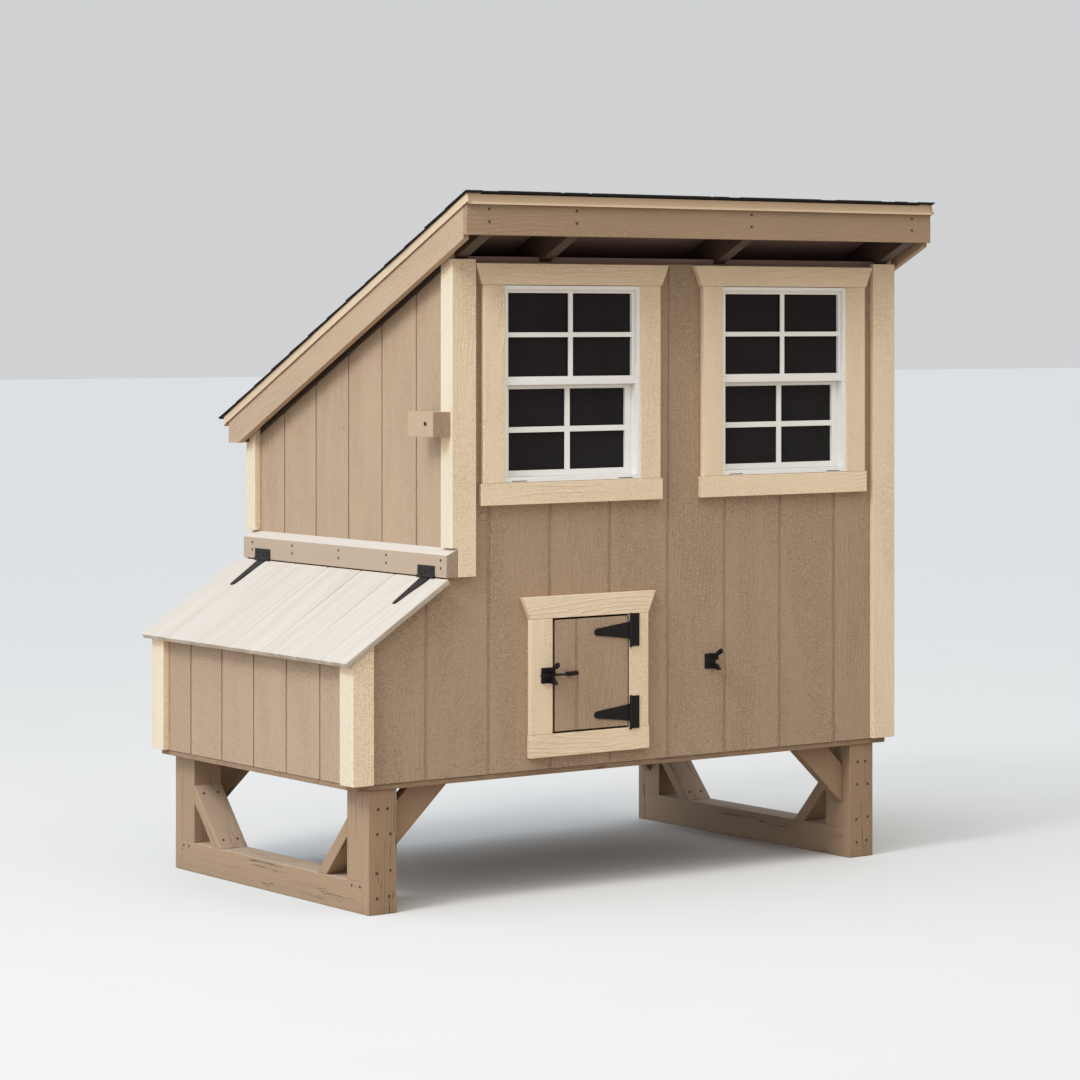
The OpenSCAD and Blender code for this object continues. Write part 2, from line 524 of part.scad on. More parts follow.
module rake_boards() {
  zc = i(51.13);
  yc = (z0 - i(0.4) - zc) / roof_fall;
  color(taupe) shop() for (x = [XL0, XR0 - tt])
    yz(x, tt) polygon([[yf + tt, zrb(yf + tt) - i(0.4)], [yc, zc], [yb, zc], [yb, zrt(yb) - 0.5], [yf + tt, zrt(yf + tt) - 0.5]]);
}
// folded metal strip over the deck edge, its lower edge kicked out; the rake strips lap over the front and back ones
de = 1.2;
module rake_strip() {
  len = (yd - yf + 8) / cos(pitch);
  translate([XL0, yf - 4, zrt(yf - 4) + dk_t]) rotate([-pitch, 0, 0])
    xz(0, len) polygon([[-de, 1.5 + de], [45, 1.5 + de], [45, 1.5], [0, 1.5], [0, -20], [-5, -25], [-6.2, -24], [-de, -19.4]]);
}
module drip_edge() {
  function dl(y) = zrt(y) + dk_t;
  color("#c9b49a") shop() {
    yz(XL0 + 0.1, XR0 - XL0 - 0.2) polygon([[yf - de, dl(yf) + 1.3], [yf + 55, dl(yf + 55) + 1.3], [yf + 55, dl(yf + 55) + 0.1], [yf, dl(yf) + 0.1], [yf, dl(yf) - 19], [yf - 8, dl(yf) - 27.5], [yf - 9.2, dl(yf) - 26.5], [yf - de, dl(yf) - 18.6]]);
    yz(XL0 + 0.1, XR0 - XL0 - 0.2) polygon([[yd + de, dl(yd) + 0.9], [yd - 45, dl(yd - 45) + 1.3], [yd - 45, dl(yd - 45) + 0.1], [yd, dl(yd) + 0.1], [yd, dl(yd) - 21], [yd + 6, dl(yd) - 28.5], [yd + 7.2, dl(yd) - 27.5], [yd + de, dl(yd) - 20.6]]);
    rake_strip();
    translate([XL0 + XR0, 0, 0]) mirror([1, 0, 0]) rake_strip();
  }
}
// overlapping courses; each one is thick at its lower edge
module shingles() {
  n = 13;
  s = (shb - shf) / n;
  function dl(y) = zrt(y) + dk_t + 3.3;
  color("#2b2b2d") shop() yz(XL0 - she, XR0 - XL0 + 2 * she)
    polygon(concat([[shf, dl(shf)]], [for (k = [0 : n - 1]) each [[shf + k * s, dl(shf + k * s) + 2.7], [shf + (k + 1) * s, dl(shf + (k + 1) * s) + 6.7]]], [[shb, dl(shb)]]));
}

// ---------------------------------------------------------------- inside
module roost_bars() { color(raw) shop() for (p = [[i(27), i(36)], [i(38), i(40)]]) bx([N + st + stud_w, p[0], p[1]], [XR - st - stud_w, p[0] + stud_t, p[1] + stud_t]); }

// ---------------------------------------------------------------- fasteners
module head_y(x, y, z) { translate([x, y, z]) rotate([90, 0, 0]) cylinder(r = 4.2, h = 1.6, $fn = 24); }
module head_x(x, y, z) { translate([x, y, z]) rotate([0, -90, 0]) cylinder(r = 4.2, h = 1.6, $fn = 24); }
module timber_screws() {
  color(black) shop() {
    for (x = [px, XR - px - post_w]) both_y() {
      for (q = [[30, 298], [59, 298], [27, 228], [68, 226], [25, 118], [68, 123], [26, 46], [64, 50]]) head_y(x + q[0], py, q[1]);
      // two screws through each end of the runner braces, square to their sloping faces
      for (t = [24, 152], u = [20, 66]) translate([x + u, py + stud_t + post_w + t, zr + 176 - t]) rotate([-45, 0, 0]) cylinder(r = 4.2, h = 1.6, $fn = 24);
    }
    for (y = [60, 108, D - 101, D - 67]) head_x(px, y, 76);
    for (y = [i(0.5), i(13), i(24.4), i(35.9), i(46.1)]) for (z = [i(38.2), i(39.1)]) head_x(N - stud_t, y, z);
    for (x = rb_x) for (z = [i(77.2), i(78.6)]) head_y(x + stud_t / 2, yf, z);
  }
}

runners();
corner_posts();
post_cheeks();
runner_braces();
floor_braces();
bottom_sheet();
floor_frame();
floor_deck();
front_wall_frame();
back_wall_frame();
end_wall_frames();
front_siding();
back_siding();
left_end_siding();
right_end_siding();
nest_end_siding();
coop_corner_boards();
nest_corner_boards();
nest_corner_cleats();
nest_partitions();
lid_ledger();
nest_lid();
lid_hinge_plates();
lid_hinge_straps();
hinge_pins();
keeper_spacer();
lid_keeper();
keeper_screw();
window_casings();
window_frames();
upper_sashes();
upper_glass();
lower_sash_left();
lower_sash_right();
lower_glass_left();
lower_glass_right();
hen_door_casing();
hen_door();
hen_door_battens();
door_hinge_plates();
hen_hinge_straps();
hen_striker();
latch_catches();
latch_pins();
hen_pawl();
hold_pawl();
access_casing();
access_door();
access_door_battens();
access_hinge_straps();
access_striker();
access_pawl();
rafters();
roof_deck();
fascia_boards();
rake_boards();
drip_edge();
shingles();
roost_bars();
timber_screws();
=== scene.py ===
import bpy, bmesh, json, math, random
import numpy as np
from mathutils import Vector, Matrix

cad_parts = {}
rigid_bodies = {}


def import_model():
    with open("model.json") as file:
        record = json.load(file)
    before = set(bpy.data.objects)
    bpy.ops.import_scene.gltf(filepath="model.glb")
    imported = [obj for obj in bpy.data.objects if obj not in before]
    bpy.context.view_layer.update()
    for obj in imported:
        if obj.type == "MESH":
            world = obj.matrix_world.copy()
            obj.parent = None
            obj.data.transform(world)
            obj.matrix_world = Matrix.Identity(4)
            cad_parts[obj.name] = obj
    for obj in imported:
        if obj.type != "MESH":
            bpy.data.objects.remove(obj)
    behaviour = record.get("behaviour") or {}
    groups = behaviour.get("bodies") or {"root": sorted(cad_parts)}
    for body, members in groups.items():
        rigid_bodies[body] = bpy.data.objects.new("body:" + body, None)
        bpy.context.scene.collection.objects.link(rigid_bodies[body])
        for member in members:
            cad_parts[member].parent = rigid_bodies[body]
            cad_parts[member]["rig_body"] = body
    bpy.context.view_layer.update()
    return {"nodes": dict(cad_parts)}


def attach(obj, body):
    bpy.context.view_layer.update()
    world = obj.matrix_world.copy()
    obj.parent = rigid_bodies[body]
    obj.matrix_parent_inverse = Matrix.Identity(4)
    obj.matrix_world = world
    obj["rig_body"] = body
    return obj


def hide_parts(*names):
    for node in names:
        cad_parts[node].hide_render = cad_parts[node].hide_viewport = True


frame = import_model()
NODES = frame["nodes"]
BODY = {n: o["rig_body"] for n, o in NODES.items()}
SCENE = bpy.context.scene

# shop coordinates (millimetres, corner of the nest box) to the shared frame
CX, CY = 929.083, 588.01


def S(x, y, z):
    return Vector(((x - CX) / 1000, (y - CY) / 1000, z / 1000))


IN = 25.4
N, XR, D = 313.0, 1844.0, 1231.0
TT, ST = 19.2, 16.0
FALL = 0.444
Z0 = 1858.0
PITCH = math.atan(FALL)
XL0, XR0 = N - 2.13 * IN, XR + 2.13 * IN
SHF, SHB = -6.8 * IN, 53.1 * IN


def zrt(y):
    return Z0 + 3.83 * IN - FALL * y


# ------------------------------------------------------------------ materials
class G:
    """A material's node tree, with short calls for the nodes used here."""

    def __init__(self, name, world=None):
        self.m = world or bpy.data.materials.new(name)
        self.m.use_nodes = True
        self.t = self.m.node_tree
        self.t.nodes.clear()
        self.out = self.t.nodes.new("ShaderNodeOutputWorld" if world else "ShaderNodeOutputMaterial")

    def put(self, socket, v):
        if isinstance(v, bpy.types.NodeSocket):
            self.t.links.new(v, socket)
        elif v is not None:
            if hasattr(socket.default_value, "__len__") and not hasattr(v, "__len__"):
                v = (v,) * len(socket.default_value)
            if hasattr(v, "__len__") and len(v) == 3 and len(socket.default_value) == 4:
                v = (*v, 1)
            socket.default_value = v

    def node(self, kind, props=None, **inputs):
        n = self.t.nodes.new(kind)
        for k, v in (props or {}).items():
            setattr(n, k, v)
        for k, v in inputs.items():
            self.put(n.inputs[k.replace("_", " ")], v)
        return n

    def attr(self, name):
        return self.node("ShaderNodeAttribute", {"attribute_name": name})

    def obj(self):
        return self.node("ShaderNodeTexCoord").outputs["Object"]

    def scale(self, v, s):
        n = self.t.nodes.new("ShaderNodeVectorMath")
        n.operation = "MULTIPLY"
        self.put(n.inputs[0], v)
        self.put(n.inputs[1], s)
        return n.outputs[0]

    def vadd(self, a, b):
        n = self.t.nodes.new("ShaderNodeVectorMath")
        n.operation = "ADD"
        self.put(n.inputs[0], a)
        self.put(n.inputs[1], b)
        return n.outputs[0]

    def xyz(self, v):
        return self.node("ShaderNodeSeparateXYZ", Vector=v).outputs

    def noise(self, v, detail=2.0, rough=0.5, dist=0.0, scale=1.0):
        return self.node("ShaderNodeTexNoise", Vector=v, Scale=scale, Detail=detail, Roughness=rough, Distortion=dist).outputs[0]

    def voronoi(self, v, feature="F1", out="Distance"):
        return self.node("ShaderNodeTexVoronoi", {"feature": feature}, Vector=v, Scale=1.0).outputs[out]

    def math(self, op, a, b=None, clamp=False):
        n = self.t.nodes.new("ShaderNodeMath")
        n.operation, n.use_clamp = op, clamp
        self.put(n.inputs[0], a)
        if b is not None:
            self.put(n.inputs[1], b)
        return n.outputs[0]

    def mul(self, a, b):
        return self.math("MULTIPLY", a, b)

    def add(self, a, b):
        return self.math("ADD", a, b)

    def span(self, v, a, b, c=0.0, d=1.0):
        n = self.node("ShaderNodeMapRange", {"interpolation_type": "SMOOTHSTEP"})
        self.put(n.inputs[0], v)
        for k, x in enumerate((a, b, c, d)):
            n.inputs[k + 1].default_value = x
        return n.outputs[0]

    def mix(self, f, a, b, mode="MIX"):
        n = self.node("ShaderNodeMix", {"data_type": "RGBA", "blend_type": mode})
        self.put(n.inputs[0], f)
        self.put(n.inputs[6], a)
        self.put(n.inputs[7], b)
        return n.outputs[2]

    def grey(self, v):
        return self.node("ShaderNodeCombineColor", Red=v, Green=v, Blue=v).outputs[0]

    def done(self, color, rough, height=None, dist=0.001, strength=1.0, **more):
        p = self.t.nodes.new("ShaderNodeBsdfPrincipled")
        self.put(p.inputs["Base Color"], color)
        self.put(p.inputs["Roughness"], rough)
        for k, v in more.items():
            self.put(p.inputs[k.replace("_", " ")], v)
        if height is not None:
            b = self.node("ShaderNodeBump", Strength=strength, Distance=dist, Height=height)
            self.t.links.new(b.outputs[0], p.inputs["Normal"])
        self.t.links.new(p.outputs[0], self.out.inputs[0])
        return self.m


def srgb(h):
    c = [int(h[k:k + 2], 16) / 255 for k in (1, 3, 5)]
    return tuple(x / 12.92 if x <= 0.04045 else ((x + 0.055) / 1.055) ** 2.4 for x in c)


def painted(name, base, pebble=0.5, streak=0.3, cath=0.3, depth=0.0011, sheet=False, rough=0.5, ground=False, spec=0.35, fade=None, cracks=0.0, top=None):
    """Satin paint over embossed board. Attribute bc is metres along, across and through the grain."""
    g = G(name)
    bc = g.attr("bc").outputs["Vector"]
    tone = g.attr("tone").outputs["Fac"]
    cut = g.attr("cut").outputs["Fac"]
    edge = g.attr("edge").outputs["Fac"]
    x, y, z = g.xyz(bc)
    # long raised streaks, fine fibres, and the short cross chatter of an embossed sheet
    streaks = g.noise(g.scale(bc, (7, 210, 210)), 3, 0.6)
    fibre = g.noise(g.scale(bc, (45, 620, 620)), 2, 0.6)
    chatter = g.noise(g.scale(bc, (430, 165, 165)), 1.5, 0.5, 0.2)
    zone = g.span(g.noise(g.scale(bc, (2.2, 14, 14)), 2, 0.5), 0.42, 0.6)
    warp = g.noise(g.scale(bc, (2.3, 7.5, 7.5)), 1.5, 0.45)
    ring = g.math("SINE", g.add(g.mul(y, 2 * math.pi * 62), g.mul(warp, 60)))
    ring = g.span(ring, 0.35, 1.0)
    czone = g.span(g.noise(g.scale(g.vadd(bc, (3.1, 5.7, 1.3)), (1.7, 9, 9)), 1, 0.5), 0.46, 0.58)
    flecks_and_highlight = g.mul(g.span(chatter, 0.50, 0.66), g.add(g.mul(zone, 0.5), 0.5))
    h = g.mul(streaks, streak)
    h = g.add(h, g.mul(fibre, 0.10))
    h = g.add(h, g.mul(flecks_and_highlight, pebble))
    h = g.add(h, g.mul(g.mul(ring, czone), cath))
    # colour: board tone, faint cloudiness, a painted highlight on the raised flecks, paint thin on the eased edges,
    # darker in the valleys
    cloud = g.noise(g.scale(bc, (3, 9, 9)), 3, 0.55)
    v = g.add(0.92, g.mul(cloud, 0.10))
    v = g.add(v, g.mul(tone, 0.05))
    # painted highlight: the raised flecks are lighter, as if catching a grazing light
    v = g.mul(v, g.add(0.965, g.mul(flecks_and_highlight, 0.50 * pebble)))
    v = g.mul(v, g.span(streaks, 0.3, 0.6, 0.97, 1.01))
    v = g.mul(v, g.add(1.0, g.mul(edge, g.mul(g.span(fibre, 0.5, 0.75), 0.16))))
    # the end and side cuts drink the paint
    lines = g.noise(g.scale(bc, (30, 60, 900)), 2, 0.6)
    v = g.mul(v, g.math("SUBTRACT", 1.0, g.mul(cut, g.span(lines, 0.35, 0.6, 0.32, 0.06))))
    col = g.mix(1.0, srgb(base), g.grey(v), "MULTIPLY")
    if sheet:
        # veneers in the cut edge, and painted shade in the grooves
        ply = g.math("SINE", g.mul(z, 2 * math.pi * 250))
        col = g.mix(g.mul(cut, g.span(ply, 0.0, 0.8, 0.15, 0.75)), col, srgb("#5c4534"))
        groove = g.attr("groove").outputs["Fac"]
        col = g.mix(g.mul(g.span(groove, 0.35, 1.0), g.span(fibre, 0.25, 0.7, 0.75, 0.5)), col, srgb("#4a392c"))
    if fade:
        # sun-bleached, slightly chalky paint
        wide = g.noise(g.scale(bc, (2.0, 26, 26)), 4, 0.6)
        col = g.mix(g.math("MULTIPLY", g.span(wide, 0.3, 0.7, 0.25, 1.0), fade[1]), col, srgb(fade[0]))
    if top:
        # painted sky light: lighter where the face looks up
        up = g.span(g.xyz(g.node("ShaderNodeNewGeometry").outputs["Normal"])[2], 0.45, 0.85)
        col = g.mix(g.mul(up, top[1]), col, srgb(top[0]))
    # hairline scuffs and small chips, here and there
    chips = g.span(g.noise(g.scale(bc, (60, 190, 190)), 2, 0.6), 0.735, 0.77)
    col = g.mix(g.mul(chips, g.add(0.25, g.mul(edge, 0.5))), col, srgb("#5d4733"))
    if cracks:
        # drying cracks along the grain
        cr = g.noise(g.scale(bc, (1.5, 75, 75)), 2, 0.5)
        open_ = g.mul(g.span(g.math("ABSOLUTE", g.math("SUBTRACT", cr, 0.5)), 0.012, 0.003), g.span(g.noise(g.scale(bc, (3.5, 30, 30)), 1, 0.5), 0.52, 0.6))
        col = g.mix(g.mul(open_, cracks), col, srgb("#2e2219"))
        h = g.math("SUBTRACT", h, g.mul(open_, 0.5))
    if ground:
        zed = g.xyz(g.obj())[2]
        grime = g.mul(g.span(zed, 0.075, 0.0), g.span(g.noise(g.scale(g.obj(), (60, 60, 110)), 5, 0.7), 0.3, 0.8))
        col = g.mix(g.mul(grime, 0.4), col, srgb("#6a5a44"))
    r = g.add(rough - 0.07, g.mul(cloud, 0.14))
    r = g.add(r, g.mul(cut, 0.2))
    return g.done(col, r, h, depth, 1.0, Specular_IOR_Level=spec)


def bare(name, early, late, dark=None, ring_mm=9.0, depth=0.0004, sheet=False):
    """Planed pine or plywood: early and late wood bands, knots, fibre."""
    g = G(name)
    bc = g.attr("bc").outputs["Vector"]
    tone = g.attr("tone").outputs["Fac"]
    cut = g.attr("cut").outputs["Fac"]
    x, y, z = g.xyz(bc)
    warp = g.noise(g.scale(bc, (1.6, 9, 9)), 2, 0.5)
    knot_d = g.voronoi(g.scale(bc, (2.3, 9, 9)))
    knot = g.span(knot_d, 0.16, 0.05)
    pull = g.math("DIVIDE", 0.35, g.add(knot_d, 0.12))
    bands = g.math("SINE", g.add(g.add(g.mul(y, 2 * math.pi * 1000 / ring_mm), g.mul(warp, 30)), g.mul(pull, 4)))
    late_f = g.math("POWER", g.span(bands, -1, 1), 2.2)
    fibre = g.noise(g.scale(bc, (35, 900, 900)), 3, 0.65)
    col = g.mix(g.mul(late_f, 0.75), srgb(early), srgb(late))
    col = g.mix(g.mul(knot, 0.85), col, srgb("#5a3317"))
    v = g.mul(g.add(0.86, g.mul(fibre, 0.26)), g.add(0.92, g.mul(tone, 0.16)))
    v = g.mul(v, g.math("SUBTRACT", 1.0, g.mul(cut, 0.25)))
    col = g.mix(1.0, col, g.grey(v), "MULTIPLY")
    # painted shade: most of the wood colour gives way to the dark tint
    if dark:
        col = g.mix(0.88, col, srgb(dark))
    h = g.add(g.mul(late_f, 0.5), g.mul(fibre, 0.6))
    return g.done(col, g.add(0.55, g.mul(fibre, 0.2)), h, depth, 1.0, Specular_IOR_Level=0.3)


def black_metal(name="hardware_black"):
    g = G(name)
    o = g.obj()
    peel = g.noise(g.scale(o, (900, 900, 900)), 2, 0.5)
    wide = g.noise(g.scale(o, (60, 60, 60)), 3, 0.6)
    rub = g.span(g.noise(g.scale(o, (230, 230, 230)), 4, 0.7), 0.66, 0.75)
    col = g.mix(wide, srgb("#0d0b0c"), srgb("#181415"))
    col = g.mix(g.mul(rub, 0.3), col, srgb("#3c3734"))
    r = g.add(0.40, g.mul(wide, 0.22))
    return g.done(col, r, g.add(g.mul(peel, 0.7), g.mul(wide, 0.3)), 0.00022, 1.0, Specular_IOR_Level=0.26)


def vinyl():
    g = G("window_vinyl")
    o = g.obj()
    wide = g.noise(g.scale(o, (6, 6, 9)), 3, 0.55)
    fine = g.noise(g.scale(o, (420, 420, 420)), 2, 0.5)
    dust = g.span(g.noise(g.scale(o, (26, 26, 60)), 4, 0.65), 0.5, 0.8)
    col = g.mix(wide, srgb("#efece8"), srgb("#e4e0da"))
    col = g.mix(g.mul(dust, 0.22), col, srgb("#cbbfae"))
    return g.done(col, g.add(0.3, g.mul(fine, 0.14)), g.add(g.mul(fine, 0.3), g.mul(wide, 0.7)), 0.00025, 1.0, Specular_IOR_Level=0.4)


def glass():
    g = G("window_glass")
    o = g.obj()
    wave = g.noise(g.scale(o, (7, 7, 5)), 2, 0.5)
    smear = g.noise(g.scale(o, (16, 16, 40)), 4, 0.65)
    # opaque and near black: painted shade standing for the dark coop interior behind the panes
    col = g.mix(wave, srgb("#1a1819"), srgb("#232122"))
    return g.done(col, g.span(smear, 0.3, 0.8, 0.1, 0.24), wave, 0.0006, 0.5, Specular_IOR_Level=0.12)


def metal_paint():
    g = G("drip_metal")
    o = g.obj()
    wide = g.noise(g.scale(o, (5, 5, 5)), 3, 0.55)
    oil = g.noise(g.scale(o, (2.5, 2.5, 22)), 2, 0.5)
    scratch = g.span(g.noise(g.scale(o, (40, 40, 600)), 3, 0.7), 0.68, 0.74)
    fine = g.noise(g.scale(o, (800, 800, 800)), 1, 0.5)
    col = g.mix(wide, srgb("#c8ae92"), srgb("#bca184"))
    col = g.mix(g.mul(scratch, 0.3), col, srgb("#8b7763"))
    return g.done(col, g.add(0.3, g.mul(wide, 0.15)), g.add(g.mul(oil, 0.8), g.mul(fine, 0.05)), 0.0012, 1.0, Specular_IOR_Level=0.4)


def asphalt():
    """Mineral granules on shingle mat; attribute tone is each tab's own shade."""
    g = G("shingle_granules")
    bc = g.attr("bc").outputs["Vector"]
    tone = g.attr("tone").outputs["Fac"]
    cut = g.attr("cut").outputs["Fac"]
    grain = g.node("ShaderNodeTexVoronoi", {"feature": "F1"}, Vector=g.scale(bc, (640, 640, 640)), Scale=1.0)
    pick = g.node("ShaderNodeSeparateColor", Color=grain.outputs["Color"]).outputs[0]
    clump = g.noise(g.scale(bc, (70, 70, 70)), 3, 0.6)
    col = g.mix(g.span(pick, 0.25, 0.6), srgb("#161619"), srgb("#37373b"))
    col = g.mix(g.span(pick, 0.86, 0.93), col, srgb("#8b8885"))
    col = g.mix(g.mul(g.span(pick, 0.78, 0.84), 0.5), col, srgb("#5b4c40"))
    v = g.mul(g.add(0.55, g.mul(tone, 0.85)), g.add(0.8, g.mul(clump, 0.4)))
    col = g.mix(1.0, col, g.grey(v), "MULTIPLY")
    col = g.mix(cut, col, srgb("#121113"))
    h = g.add(g.mul(g.math("SUBTRACT", 1.0, grain.outputs["Distance"]), 0.8), g.mul(clump, 0.6))
    return g.done(col, g.add(0.8, g.mul(clump, 0.15)), h, 0.0012, 1.0, Specular_IOR_Level=0.25)


def steel(name, a, b, rough=0.5, metal=0.0):
    g = G(name)
    o = g.obj()
    w = g.noise(g.scale(o, (500, 500, 500)), 3, 0.6)
    col = g.mix(w, srgb(a), srgb(b))
    return g.done(col, g.add(rough - 0.1, g.mul(w, 0.2)), w, 0.0003, 1.0, Metallic=metal, Specular_IOR_Level=0.4)


TAUPE, CREAM = "#a98f76", "#ead0b1"
M = {
    "siding": painted("taupe_siding", TAUPE, 0.70, 0.42, 0.20, 0.0034, sheet=True),
    "lid": painted("taupe_lid", "#b8a692", 0.22, 0.40, 0.12, 0.0010, sheet=True, rough=0.42, spec=0.5, fade=("#d2c8bb", 0.62)),
    # top= paints sky light: faces that look up are lighter
    "timber": painted("taupe_timber", "#957a61", 0.12, 0.45, 0.16, 0.0014, rough=0.52, ground=True, cracks=0.85, top=("#c3b09b", 0.5)),
    "ledger": painted("pale_ledger", "#a48f7a", 0.12, 0.40, 0.14, 0.0012, rough=0.45, top=("#d3c6b7", 0.8)),
    "keeper": painted("taupe_keeper", TAUPE, 0.12, 0.40, 0.14, 0.0012, rough=0.5),
    "trim_taupe": painted("taupe_trim", TAUPE, 0.50, 0.36, 0.22, 0.0026),
    "fascia": painted("taupe_fascia", "#9a8067", 0.50, 0.36, 0.22, 0.0026),
    "cream": painted("cream_trim", CREAM, 0.70, 0.28, 0.16, 0.0032),
    "cream_grain": painted("cream_trim_grained", CREAM, 0.50, 0.28, 0.28, 0.0032),
    # rafters: a dark colour that paints their shade under the roof
    "rafter": painted("rafter_painted_shade", "#4b3d33", 0.12, 0.42, 0.16, 0.0008),
    "pine": bare("pine", "#d6b07a", "#b27f45"),
    "ply": bare("plywood", "#d3ae7b", "#bd8d55", ring_mm=26, sheet=True),
    # soffit: a dark tint that paints the deep shade under the eaves
    "soffit": bare("soffit_plywood_painted_shade", "#a08680", "#846b67", ring_mm=26, dark="#92766f"),
    "black": black_metal(),
    "vinyl": vinyl(),
    "glass": glass(),
    "drip": metal_paint(),
    "shingle": asphalt(),
    "nail": steel("nail_head", "#3a2b20", "#57402c", 0.6),
    # painted shadow lines for the window seams, and painted shade for the drain slots
    "shadow": steel("seam_shadow_grey", "#8f8c89", "#a5a19c", 0.6),
    "slot": steel("slot_dark", "#2a2726", "#3a3634", 0.7),
}


# ------------------------------------------------------------------ mesh helpers
def link(name, mesh, mat, body, node=None):
    o = bpy.data.objects.new(name, mesh)
    SCENE.collection.objects.link(o)
    if mat is not None:
        mesh.materials.append(mat)
    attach(o, body)
    for n in ([node] if isinstance(node, str) else node or []):
        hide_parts(n)
    return o


def weighted(o):
    w = o.modifiers.new("normals", "WEIGHTED_NORMAL")
    w.weight = 60
    w.keep_sharp = False
    return o


def islands(bm):
    seen, out = set(), []
    for f in bm.faces:
        if f in seen:
            continue
        stack, isl = [f], []
        seen.add(f)
        while stack:
            q = stack.pop()
            isl.append(q)
            for e in q.edges:
                for r in e.link_faces:
                    if r not in seen:
                        seen.add(r)
                        stack.append(r)
        out.append(isl)
    return out


def board_attrs(bm, key, grain=None, sheet=False, jitter=True):
    bc = bm.verts.layers.float_vector.get("bc") or bm.verts.layers.float_vector.new("bc")
    tone = bm.faces.layers.float.get("tone") or bm.faces.layers.float.new("tone")
    cut = bm.faces.layers.float.get("cut") or bm.faces.layers.float.new("cut")
    groove = bm.verts.layers.float.get("groove") or bm.verts.layers.float.new("groove")
    groups = islands(bm)
    groups.sort(key=lambda fs: tuple(round(c, 4) for c in sum((f.calc_center_median() for f in fs), Vector()) / len(fs)))
    for k, fs in enumerate(groups):
        rng = random.Random(f"{key}-{k}")
        edges = {e for f in fs for e in f.edges}
        if grain is None:
            e = max(edges, key=lambda e: (round(e.calc_length(), 5), e.index))
            u = (e.verts[1].co - e.verts[0].co).normalized()
        else:
            u = Vector(grain).normalized()
        big = max(fs, key=lambda f: f.calc_area() if abs(f.normal.dot(u)) < 0.3 else 0)
        w = big.normal.copy()
        w = (w - u * w.dot(u)).normalized()
        v = w.cross(u)
        off = Vector((rng.uniform(0, 40), rng.uniform(0, 40), rng.uniform(0, 40)))
        c = sum((f.calc_center_median() for f in fs), Vector()) / len(fs)
        verts = {x for f in fs for x in f.verts}
        face = max(x.co.dot(w) for x in verts)
        for vert in verts:
            p = vert.co - c
            vert[bc] = Vector((p.dot(u), p.dot(v), p.dot(w))) + off
            vert[groove] = 1.0 if sheet and 0.0016 < face - vert.co.dot(w) < 0.005 else 0.0
        t = rng.random()
        for f in fs:
            f[tone] = t
            f[cut] = 1.0 if abs(f.normal.dot(u)) > 0.8 or (sheet and abs(f.normal.dot(v)) > 0.8) else 0.0


def timber(node, mat, grain=None, sheet=False, bevel=1.3, name=None, keep=None):
    """A CAD timber node as boards with eased edges, each with its own grain."""
    bm = bmesh.new()
    bm.from_mesh(NODES[node].data)
    bmesh.ops.remove_doubles(bm, verts=bm.verts, dist=2e-5)
    bmesh.ops.dissolve_limit(bm, angle_limit=math.radians(0.6), verts=bm.verts, edges=bm.edges)
    bmesh.ops.recalc_face_normals(bm, faces=bm.faces)
    edge = bm.faces.layers.float.new("edge")
    sharp = [e for e in bm.edges if len(e.link_faces) == 2 and e.calc_face_angle(0) > math.radians(20)]
    r = bmesh.ops.bevel(bm, geom=sharp, offset=bevel / 1000, offset_type="OFFSET", segments=2, profile=0.5, affect="EDGES", clamp_overlap=True)
    for f in r["faces"]:
        f[edge] = 1.0
    board_attrs(bm, node, grain, sheet)
    for f in bm.faces:
        f.smooth = True
    me = bpy.data.meshes.new(name or node + "_boards")
    bm.to_mesh(me)
    bm.free()
    o = link(name or node + "_boards", me, mat, BODY[node], node)
    weighted(o)
    return o


def dress(node, mat, bevel=0.4, segments=2):
    """A CAD node that stays: eased edges and its material."""
    o = NODES[node]
    o.data.materials.clear()
    o.data.materials.append(mat)
    for p in o.data.polygons:
        p.use_smooth = True
    w = o.modifiers.new("weld", "WELD")
    w.merge_threshold = 1e-5
    b = o.modifiers.new("edges", "BEVEL")
    b.width, b.segments, b.limit_method, b.angle_limit = bevel / 1000, segments, "ANGLE", math.radians(35)
    b.use_clamp_overlap = True
    weighted(o)
    return o


def lathe(bm, base, axis, profile, seg=14, tag=None):
    """Revolves (radius, height) points about axis from base; returns the new faces."""
    axis = Vector(axis).normalized()
    a = axis.orthogonal().normalized()
    b = axis.cross(a)
    rings = []
    for r, h in profile:
        if r < 1e-7:
            rings.append([bm.verts.new(Vector(base) + axis * h)])
        else:
            rings.append([bm.verts.new(Vector(base) + axis * h + (a * math.cos(2 * math.pi * k / seg) + b * math.sin(2 * math.pi * k / seg)) * r) for k in range(seg)])
    out = []
    for p, q in zip(rings, rings[1:]):
        for k in range(seg):
            j = (k + 1) % seg
            if len(p) == 1 and len(q) == 1:
                continue
            if len(p) == 1:
                out.append(bm.faces.new((p[0], q[k], q[j])))
            elif len(q) == 1:
                out.append(bm.faces.new((p[k], q[0], p[j])))
            else:
                out.append(bm.faces.new((p[k], q[k], q[j], p[j])))
    for f in out:
        f.smooth = True
    return out


def studs(name, spots, profile, mat, body, seg=14, node=None):
    """Many small heads as one piece; spots are (point, outward direction)."""
    bm = bmesh.new()
    for p, n in spots:
        lathe(bm, p, n, profile, seg)
    bmesh.ops.recalc_face_normals(bm, faces=bm.faces)
    me = bpy.data.meshes.new(name)
    bm.to_mesh(me)
    bm.free()
    return link(name, me, mat, body, node)


def mm(profile):
    return [(r / 1000, h / 1000) for r, h in profile]


